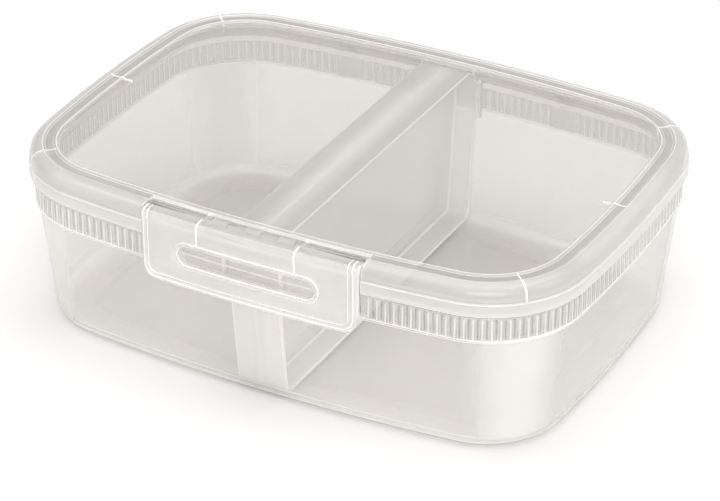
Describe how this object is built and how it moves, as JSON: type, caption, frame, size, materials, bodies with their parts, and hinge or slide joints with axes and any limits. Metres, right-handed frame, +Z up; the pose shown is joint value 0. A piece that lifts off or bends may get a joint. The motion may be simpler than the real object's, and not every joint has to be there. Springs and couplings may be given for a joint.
{
  "type": "divided lunch box with clip lid",
  "caption": "Shallow rounded food box with a lift-out divider, a ribbed collar and a clear lid held by a slotted front clip.",
  "frame": {"origin": "middle of the flat underside of the tub", "axes": "+X along the long side, -Y towards the clip at the front, +Z up"},
  "size_m": [0.2014, 0.1489, 0.0626],
  "materials": {
    "tub_plastic": "milky translucent polypropylene, polished",
    "divider_plastic": "milky translucent polypropylene, satin",
    "lid_plastic": "near-clear polypropylene, polished",
    "clip_plastic": "near-clear polypropylene, polished"
  },
  "bodies": {
    "tub": {"tub": "tub_plastic"},
    "divider": {"divider": "divider_plastic"},
    "lid": {"lid": "lid_plastic"},
    "clip": {"clip": "clip_plastic"}
  },
  "joints": [
    {"name": "divider_lift", "type": "slide", "parent": "tub", "child": "divider", "axis": [0, 0, 1], "range_m": [0, 0.065]},
    {"name": "lid_lift", "type": "slide", "parent": "divider", "child": "lid", "axis": [0, 0, 1], "range_m": [0, 0.06]},
    {"name": "clip_hinge", "type": "hinge", "parent": "lid", "child": "clip", "pos_m": [0, -0.0684, 0.0599], "axis": [-1, 0, 0], "range_deg": [0, 90]}
  ]
}
